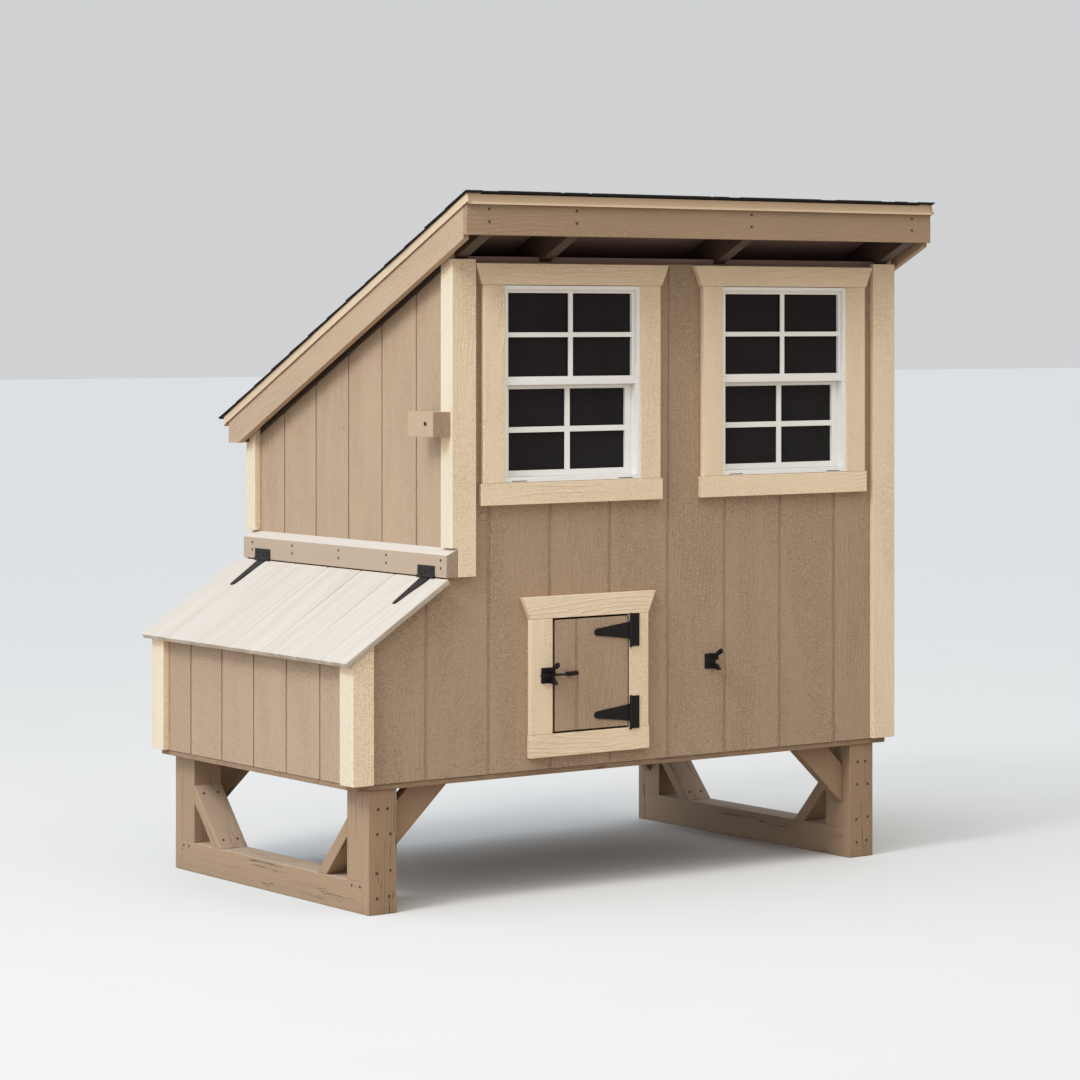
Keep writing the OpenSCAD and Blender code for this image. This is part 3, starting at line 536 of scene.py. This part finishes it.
NAIL = mm([(0, -0.8), (1.9, -0.8), (1.9, 0.1), (1.5, 0.35), (0.7, 0.3), (0, 0.15)])
SCREW = mm([(0, -0.6), (4.1, -0.6), (4.2, 0.5), (3.9, 1.1), (3.1, 1.55), (1.5, 1.6), (1.35, 1.5), (1.2, 0.5), (0, 0.45)])
HINGE_SCREW = mm([(0, -0.4), (3.3, -0.4), (3.4, 0.2), (2.9, 0.75), (1.7, 1.15), (1.2, 1.15), (1.05, 1.0), (0.95, 0.3), (0, 0.25)])


# ------------------------------------------------------------------ timber
Z = (0, 0, 1)
for n in ("front_siding", "back_siding", "left_end_siding", "right_end_siding", "nest_end_siding"):
    timber(n, M["siding"], Z, True, 1.1)
timber("hen_door", M["siding"], Z, True, 1.2)
timber("access_door", M["siding"], Z, True, 1.2)
_c = math.radians(34.4)
timber("nest_lid", M["lid"], (-math.cos(_c), 0, -math.sin(_c)), True, 1.2)
for n in ("runners", "corner_posts", "post_cheeks", "runner_braces", "floor_braces"):
    timber(n, M["timber"], None, False, 2.2)
timber("bottom_sheet", M["timber"], (1, 0, 0), True, 1.0)
timber("lid_ledger", M["ledger"], (0, 1, 0), False, 2.2)
timber("lid_keeper", M["keeper"], (0, 1, 0), False, 1.8)
timber("keeper_spacer", M["keeper"], (0, 1, 0), False, 1.0)
timber("fascia_boards", M["fascia"], (1, 0, 0), False, 1.5)
timber("rake_boards", M["trim_taupe"], (0, math.cos(PITCH), -math.sin(PITCH)), False, 1.5)
timber("coop_corner_boards", M["cream"], Z, False, 1.6)
timber("nest_corner_boards", M["cream"], Z, False, 1.6)
timber("window_casings", M["cream_grain"], None, False, 1.6)
timber("hen_door_casing", M["cream_grain"], None, False, 1.6)
timber("access_casing", M["cream_grain"], None, False, 1.6)
timber("rafters", M["rafter"], (0, math.cos(PITCH), -math.sin(PITCH)), False, 2.0)
# the roof deck and the top plate seen above the front siding take the soffit colour, painted shade under the eaves
timber("roof_deck", M["soffit"], (1, 0, 0), True, 0.8)
timber("front_wall_frame", M["soffit"], None, False, 2.0)
for n in ("floor_frame", "back_wall_frame", "end_wall_frames", "nest_corner_cleats", "roost_bars", "hen_door_battens", "access_door_battens"):
    timber(n, M["pine"], None, False, 2.0)
timber("floor_deck", M["ply"], (1, 0, 0), True, 0.8)
timber("nest_partitions", M["ply"], None, True, 0.8)

# ------------------------------------------------------------------ windows, hardware, metal
for n in ("window_frames",):
    dress(n, M["vinyl"], 1.4, 3)
for n in ("upper_sashes", "lower_sash_left", "lower_sash_right"):
    dress(n, M["vinyl"], 0.9, 2)
for n in ("upper_glass", "lower_glass_left", "lower_glass_right"):
    dress(n, M["glass"], 0.3, 1)
for n in ("lid_hinge_plates", "lid_hinge_straps", "hinge_pins", "door_hinge_plates", "hen_hinge_straps", "access_hinge_straps", "hen_striker", "access_striker", "latch_catches", "latch_pins", "hen_pawl", "hold_pawl", "access_pawl", "keeper_screw"):
    dress(n, M["black"], 0.45, 2)
dress("drip_edge", M["drip"], 0.35, 1)


def bar(bm, a, b):
    """Closed box between two corners, added to bm."""
    xs, ys, zs = zip(a, b)
    vs = [bm.verts.new((x, y, z)) for x in xs for y in ys for z in zs]
    for q in ((0, 1, 3, 2), (4, 6, 7, 5), (0, 4, 5, 1), (2, 3, 7, 6), (0, 2, 6, 4), (1, 5, 7, 3)):
        bm.faces.new([vs[k] for k in q])


# painted shadow lines at the seams either side of the meeting rail, and the drain slots of each window frame as dark
# patches of painted shade
WIN = (27.42 * IN, 57.03 * IN)
bm = bmesh.new()
bs = bmesh.new()
for w in WIN:
    for z in (1491.0, 1509.8):
        for s in (-1, 1):
            bar(bm, S(w + s * 219.2, -14.35, z - 0.6), S(w + s * 229.2, -13.6, z + 0.6))
    bar(bm, S(w - 218.0, -5.3, 1490.4), S(w + 218.0, -4.6, 1491.5))
    for s in (-1, 1):
        bar(bs, S(w + s * 180 - 25, -14.4, 1212.6), S(w + s * 180 + 25, -13.4, 1215.0))
for b, nm, mt in ((bm, "window_seams", M["shadow"]), (bs, "window_drain_slots", M["slot"])):
    bmesh.ops.recalc_face_normals(b, faces=b.faces)
    bmesh.ops.bevel(b, geom=b.edges[:], offset=0.0003, segments=2, profile=0.5, affect="EDGES", clamp_overlap=True)
    me = bpy.data.meshes.new(nm)
    b.to_mesh(me)
    b.free()
    link(nm, me, mt, "coop")

# ------------------------------------------------------------------ fasteners
# structural screw heads: same places as the plain CAD heads, with a driven recess
bm = bmesh.new()
bm.from_mesh(NODES["timber_screws"].data)
bmesh.ops.remove_doubles(bm, verts=bm.verts, dist=2e-5)
spots = []
for fs in islands(bm):
    vs = {v for f in fs for v in f.verts}
    c = sum((v.co for v in vs), Vector()) / len(vs)
    cap = max(fs, key=lambda f: len(f.verts) * 100 + f.calc_area())
    # the axis is the direction in which the head is thinnest
    pts = np.array([v.co - c for v in vs])
    axis = Vector(np.linalg.svd(pts, full_matrices=False)[2][2])
    h = max(abs(Vector(p).dot(axis)) for p in pts)
    body_c = S((N + XR) / 2, D / 2, c.z * 1000)
    if axis.dot(c - Vector((body_c.x, body_c.y, c.z))) < 0:
        axis = -axis
    if abs(axis.z) > 0.3:
        axis = axis if axis.z > 0 else -axis
    spots.append((c - axis * h, axis))
bm.free()
spots.sort(key=lambda q: tuple(round(v, 5) for v in q[0]))
studs("timber_screw_heads", spots, SCREW, M["nail"], "coop", 18, "timber_screws")

# finishing nails through siding and trim
rng = random.Random(11)
nails = []
for x in (195, 309, 449, 640, 780, 1008, 1180, 1330, 1500, 1650):
    nails.append((S(x + rng.uniform(-6, 6), 0.05, 403 + rng.uniform(-4, 4)), Vector((0, -1, 0))))
for x, z in ((164, 812), (244, 838)):
    nails.append((S(x, 0.05, z), Vector((0, -1, 0))))
for x in (405, 560, 930, 1120, 1320, 1500, 1690):
    nails.append((S(x + rng.uniform(-8, 8), 0.05, 1130 + rng.uniform(-5, 5)), Vector((0, -1, 0))))
for y in (110, 197, 330, 466, 600, 744, 864, 1010, 1120):
    nails.append((S(-0.05, y + rng.uniform(-3, 3), 402 + rng.uniform(-5, 3)), Vector((-1, 0, 0))))
for y in (398, 525, 659, 796, 932, 1051):
    nails.append((S(N - 0.05, y, 1352 + rng.uniform(-5, 5)), Vector((-1, 0, 0))))
for x in range(90, 1800, 205):
    for z in (404, 760, 1240):
        if z == 404 or x > N + 40:
            nails.append((S(x + rng.uniform(-6, 6), D - 0.05, z + rng.uniform(-5, 5)), Vector((0, 1, 0))))
for y in (120, 180, 840, 980, 1100):
    for z in (404, 900, 1250):
        nails.append((S(XR + 0.05, y + rng.uniform(-5, 5), z + rng.uniform(-5, 5)), Vector((1, 0, 0))))
studs("siding_nails", nails, NAIL, M["nail"], "coop", 10)

# hinge screws: plates on the coop, straps on the moving leaves
plate, lid_s, hen_s, acc_s = [], [], [], []
PO, LT = 4.1, 2.5
LX, LZ = N - 1.5 * IN - PO, 37.13 * IN
for y in (3.72 * IN, 43.35 * IN):
    for dy in (-34, 0, 34):
        plate.append((S(LX + PO - LT, y + dy, LZ + (22 if dy else 14)), Vector((-1, 0, 0))))
    for u, v in ((22, 11), (22, -11), (66, 0), (112, 0)):
        n = Vector((-math.sin(_c), 0, math.cos(_c)))
        p = S(LX, y + v, LZ) + Vector((-math.cos(_c), 0, -math.sin(_c))) * (u / 1000) - n * ((PO - LT) / 1000)
        lid_s.append((p, n))
HAX = 35.0 * IN
for z in (20.35 * IN, 29.96 * IN):
    for dz in (-36, 0, 36):
        plate.append((S(HAX + (20 if dz else 14), -TT - LT, z + dz), Vector((0, -1, 0))))
    for u, v in ((20, 11), (20, -11), (62, 0), (110, 0)):
        hen_s.append((S(HAX - u, -TT - LT, z + v), Vector((0, -1, 0))))
AAX = 29.6 * IN
for z in (24.5 * IN, 48 * IN):
    for dz in (-36, 0, 36):
        plate.append((S(XR + TT + LT, AAX + (26 if dz else 17), z + dz), Vector((1, 0, 0))))
    for u, v in ((20, 11), (20, -11), (80, 0), (162, 0)):
        acc_s.append((S(XR + TT + LT, AAX - u, z + v), Vector((1, 0, 0))))
studs("hinge_plate_screws", plate, HINGE_SCREW, M["black"], "coop", 14)
studs("lid_strap_screws", lid_s, HINGE_SCREW, M["black"], "nest_lid", 14)
studs("hen_strap_screws", hen_s, HINGE_SCREW, M["black"], "hen_door", 14)
studs("access_strap_screws", acc_s, HINGE_SCREW, M["black"], "access_door", 14)
# latch plate and striker screws
HLX, HLZ = 24.27 * IN, 25.41 * IN
HDX = 2 * HAX - HLX + 1.35 * IN
cs_ = [(S(HLX - 26.5, -TT - LT, HLZ + d), Vector((0, -1, 0))) for d in (-18, 13)]
cs_ += [(S(HDX - 26.5, -LT, HLZ + 5 + d), Vector((0, -1, 0))) for d in (-18, 13)]
ALX, ALZ = 7.5 * IN - 0.33 * IN, 36 * IN
cs_ += [(S(XR + TT + LT, ALX - 26.5, ALZ + d), Vector((1, 0, 0))) for d in (-18, 13)]
studs("latch_plate_screws", cs_, HINGE_SCREW, M["black"], "coop", 14)
studs("hen_striker_screws", [(S(HLX + 88, -TT - LT, HLZ), Vector((0, -1, 0)))], HINGE_SCREW, M["black"], "hen_door", 14)
studs("access_striker_screws", [(S(XR + TT + LT, ALX + 88, ALZ), Vector((1, 0, 0)))], HINGE_SCREW, M["black"], "access_door", 14)


# ------------------------------------------------------------------ roof shingles
def roof(x, s, h):
    """x across the roof, s down the slope from the front edge, h off the deck; millimetres"""
    c, q = math.cos(PITCH), math.sin(PITCH)
    y = SHF + s * c + h * 0.64 * q
    return S(x, y, zrt(SHF) + 10.4 + 3.3 - s * q + h * 0.64 * c)


def prism(bm, ring, h0, h1, tone, cutv, layers, off):
    """ring is (x, s) points; h0 and h1 give the underside and top height at each point. One closed tab."""
    lt, lc, lb = layers
    lo = [bm.verts.new(roof(x, s, a)) for (x, s), a in zip(ring, h0)]
    hi = [bm.verts.new(roof(x, s, a)) for (x, s), a in zip(ring, h1)]
    for v, (x, s) in zip(lo + hi, list(ring) * 2):
        v[lb] = Vector((x / 1000, s / 1000, 0)) + off
    n = len(ring)
    top = bm.faces.new(hi)
    faces = [bm.faces.new(lo[::-1])] + [bm.faces.new((lo[k], lo[(k + 1) % n], hi[(k + 1) % n], hi[k])) for k in range(n)]
    top[lt] = tone
    for f in faces:
        f[lt] = tone
        f[lc] = cutv
    return top


rng = random.Random(77)
bm = bmesh.new()
layers = (bm.faces.layers.float.new("tone"), bm.faces.layers.float.new("cut"), bm.verts.layers.float_vector.new("bc"))
L = (SHB - SHF) / math.cos(PITCH)
NC = 13
EXP = L / NC
x0, x1 = XL0 - 8, XR0 + 8
TH = 3.0
for k in range(NC):
    s_lo = EXP * (k + 1)
    s_up = EXP * k
    # base layer, in lengths of about a metre with fine butt gaps
    cuts = [x0 + rng.uniform(-2.5, 2.0)]
    pos = x0 + rng.uniform(250, 900)
    while pos < x1 - 120:
        cuts.append(pos)
        pos += 985
    cuts.append(x1 + rng.uniform(-2.0, 2.5))
    base_tone = rng.uniform(0.05, 0.35)
    for a, b in zip(cuts, cuts[1:]):
        ring, h0, h1 = [], [], []
        m = max(2, int((b - a) / 60))
        sl = s_lo + rng.uniform(-1.0, 1.0)
        low = [(a + (b - a) * j / m, sl + rng.uniform(-0.5, 0.5)) for j in range(m + 1)]
        low[0] = (a + 0.5, low[0][1])
        low[-1] = (b - 0.5, low[-1][1])
        top_s = s_up - (18 if k else 0)
        ring = low + [(b - 0.5, top_s), (a + 0.5, top_s)]
        top_h = 0.9 if k else TH
        h0 = [TH * 0.15] * len(low) + [0.05, 0.05]
        h1 = [5.2] * len(low) + [top_h, top_h] if k else [5.2] * len(low) + [TH, TH]
        prism(bm, ring, h0, h1, base_tone, 0.75, layers, Vector((rng.uniform(0, 9), rng.uniform(0, 9), k)))
    # the laminated upper layer: uneven tabs with slightly tapered sides
    pos = x0 + rng.uniform(-3.0, 1.5)
    last = x1 + rng.uniform(-1.5, 3.0)
    wide = rng.random() < 0.5
    while pos < last - 25:
        w = rng.uniform(95, 235) if wide else rng.uniform(45, 120)
        end = min(pos + w, last)
        if last - end < 40:
            end = last
        t = rng.uniform(1.5, 6.5)
        lip = s_lo + rng.uniform(-0.8, 1.2)
        m = max(1, int((end - pos) / 55))
        low = [(pos + t + (end - pos - 2 * t) * j / m, lip + rng.uniform(-0.45, 0.45)) for j in range(m + 1)]
        if pos <= x0 + 4:
            low[0] = (pos, low[0][1])
        if end >= last - 1:
            low[-1] = (end, low[-1][1])
        top_s = s_up - (12 if k else 0)
        ring = low + [(end, top_s), (pos, top_s)]
        h0 = [5.25] * len(low) + [(1.0 if k else TH + 0.05)] * 2
        h1 = [8.3 + rng.uniform(-0.3, 0.7)] * len(low) + [(3.4 if k else TH + 2.6)] * 2
        prism(bm, ring, h0, h1, rng.uniform(0.25, 1.0), 0.8, layers, Vector((rng.uniform(0, 9), rng.uniform(0, 9), k)))
        gap = rng.uniform(8, 70) if rng.random() < 0.75 else rng.uniform(0.8, 3)
        pos = end + gap
        wide = not wide
bmesh.ops.recalc_face_normals(bm, faces=bm.faces)
me = bpy.data.meshes.new("shingle_courses")
bm.to_mesh(me)
bm.free()
sh = link("shingle_courses", me, M["shingle"], "coop", "shingles")

# ------------------------------------------------------------------ stage, light, camera
bm = bmesh.new()
seg = 24
vs = [[bm.verts.new((-90 + 180 * i / seg, -90 + 180 * j / seg, -0.0006)) for j in range(seg + 1)] for i in range(seg + 1)]
for i in range(seg):
    for j in range(seg):
        bm.faces.new((vs[i][j], vs[i + 1][j], vs[i + 1][j + 1], vs[i][j + 1]))
me = bpy.data.meshes.new("studio_floor")
bm.to_mesh(me)
bm.free()
floor = bpy.data.objects.new("studio_floor", me)
SCENE.collection.objects.link(floor)
g = G("studio_floor")
o = g.obj()
fn = g.noise(g.scale(o, (3, 3, 3)), 4, 0.6)
pale = g.mix(fn, (0.64, 0.63, 0.61), (0.68, 0.67, 0.65))
# it throws a little less, and warmer, light back than it shows
pale = g.mix(g.node("ShaderNodeLightPath").outputs["Is Camera Ray"], (0.46, 0.41, 0.34), pale)
me.materials.append(g.done(pale, 0.75, fn, 0.001, 0.3, Specular_IOR_Level=0.2))

world = bpy.data.worlds.new("studio")
SCENE.world = world
g = G("studio", world)
d = g.node("ShaderNodeTexCoord").outputs["Generated"]
dx, dy, dz = g.xyz(d)


def lobe(x, y, z, start):
    """a soft patch of sky around one direction"""
    n = Vector((x, y, z)).normalized()
    dot = g.add(g.add(g.mul(dx, n.x), g.mul(dy, n.y)), g.mul(dz, n.z))
    return g.span(dot, start, 1.0)


sky = g.mix(g.span(dz, 0.0, 0.95), (0.20, 0.18, 0.16), (0.80, 0.90, 0.98))
sky = g.mix(lobe(-0.88, 0.10, 0.46, 0.2), sky, (1.34, 1.50, 1.70), "ADD")
sky = g.mix(lobe(0.25, -0.55, 0.80, 0.4), sky, (0.38, 0.30, 0.22), "ADD")
seen = g.node("ShaderNodeLightPath").outputs["Is Camera Ray"]
bg = g.node("ShaderNodeBackground", Color=g.mix(seen, sky, (0.66, 0.67, 0.68)), Strength=1.0)
g.t.links.new(bg.outputs[0], g.out.inputs[0])


def area(name, loc, target, size, power, color):
    d = bpy.data.lights.new(name, "AREA")
    d.shape, d.size, d.energy, d.color = "DISK", size, power, color
    o = bpy.data.objects.new(name, d)
    SCENE.collection.objects.link(o)
    o.location = loc
    o.rotation_euler = (Vector(target) - Vector(loc)).to_track_quat("-Z", "Y").to_euler()
    return o


area("key_left", (-5.4, -1.8, 6.0), (0, 0, 0.9), 2.4, 330, (1.0, 0.98, 0.96))
area("fill_front", (0.6, -5.0, 8.5), (0, 0, 1.0), 3.0, 90, (1.0, 0.84, 0.66))

cam_d = bpy.data.cameras.new("camera")
cam_d.sensor_width = 36.0
cam_d.lens = 120.49
cam = bpy.data.objects.new("camera", cam_d)
SCENE.collection.objects.link(cam)
STATION = (-5.875517, -9.783801, 1.679143)
cam.location = STATION
cam.rotation_euler = (math.pi / 2, 0, -0.7271)
cam_d.clip_end = 200
SCENE.camera = cam
# The lens shift holds only while the camera stands at its station, so other angles are centred.
station = bpy.data.objects.new("camera_station", None)
SCENE.collection.objects.link(station)
station.location = STATION
for prop, value in (("shift_x", -0.626), ("shift_y", -0.203)):
    fc = cam_d.driver_add(prop)
    while fc.modifiers:
        fc.modifiers.remove(fc.modifiers[0])
    fc.driver.type = "SUM"
    var = fc.driver.variables.new()
    var.name = "d"
    var.type = "LOC_DIFF"
    var.targets[0].id = cam
    var.targets[1].id = station
    while len(fc.keyframe_points):
        fc.keyframe_points.remove(fc.keyframe_points[0])
    for t, v in ((0.0, value), (0.05, value), (0.15, 0.0), (1.0, 0.0)):
        fc.keyframe_points.insert(t, v).interpolation = "LINEAR"
    fc.extrapolation = "CONSTANT"

SCENE.view_settings.view_transform = "Standard"
SCENE.view_settings.look = "None"
SCENE.view_settings.exposure = 0.0
# a soft shoulder for the highlights
SCENE.view_settings.use_curve_mapping = True
cm = SCENE.view_settings.curve_mapping
cm.white_level = (1.6, 1.6, 1.6)
curve = cm.curves[3]
for x, y in ((0.25, 0.40), (0.355, 0.555), (0.50, 0.73), (0.75, 0.905)):
    curve.points.new(x, y)
curve.points[-1].location = (1.0, 0.985)
curve.points[0].handle_type = curve.points[1].handle_type = "VECTOR"
cm.update()
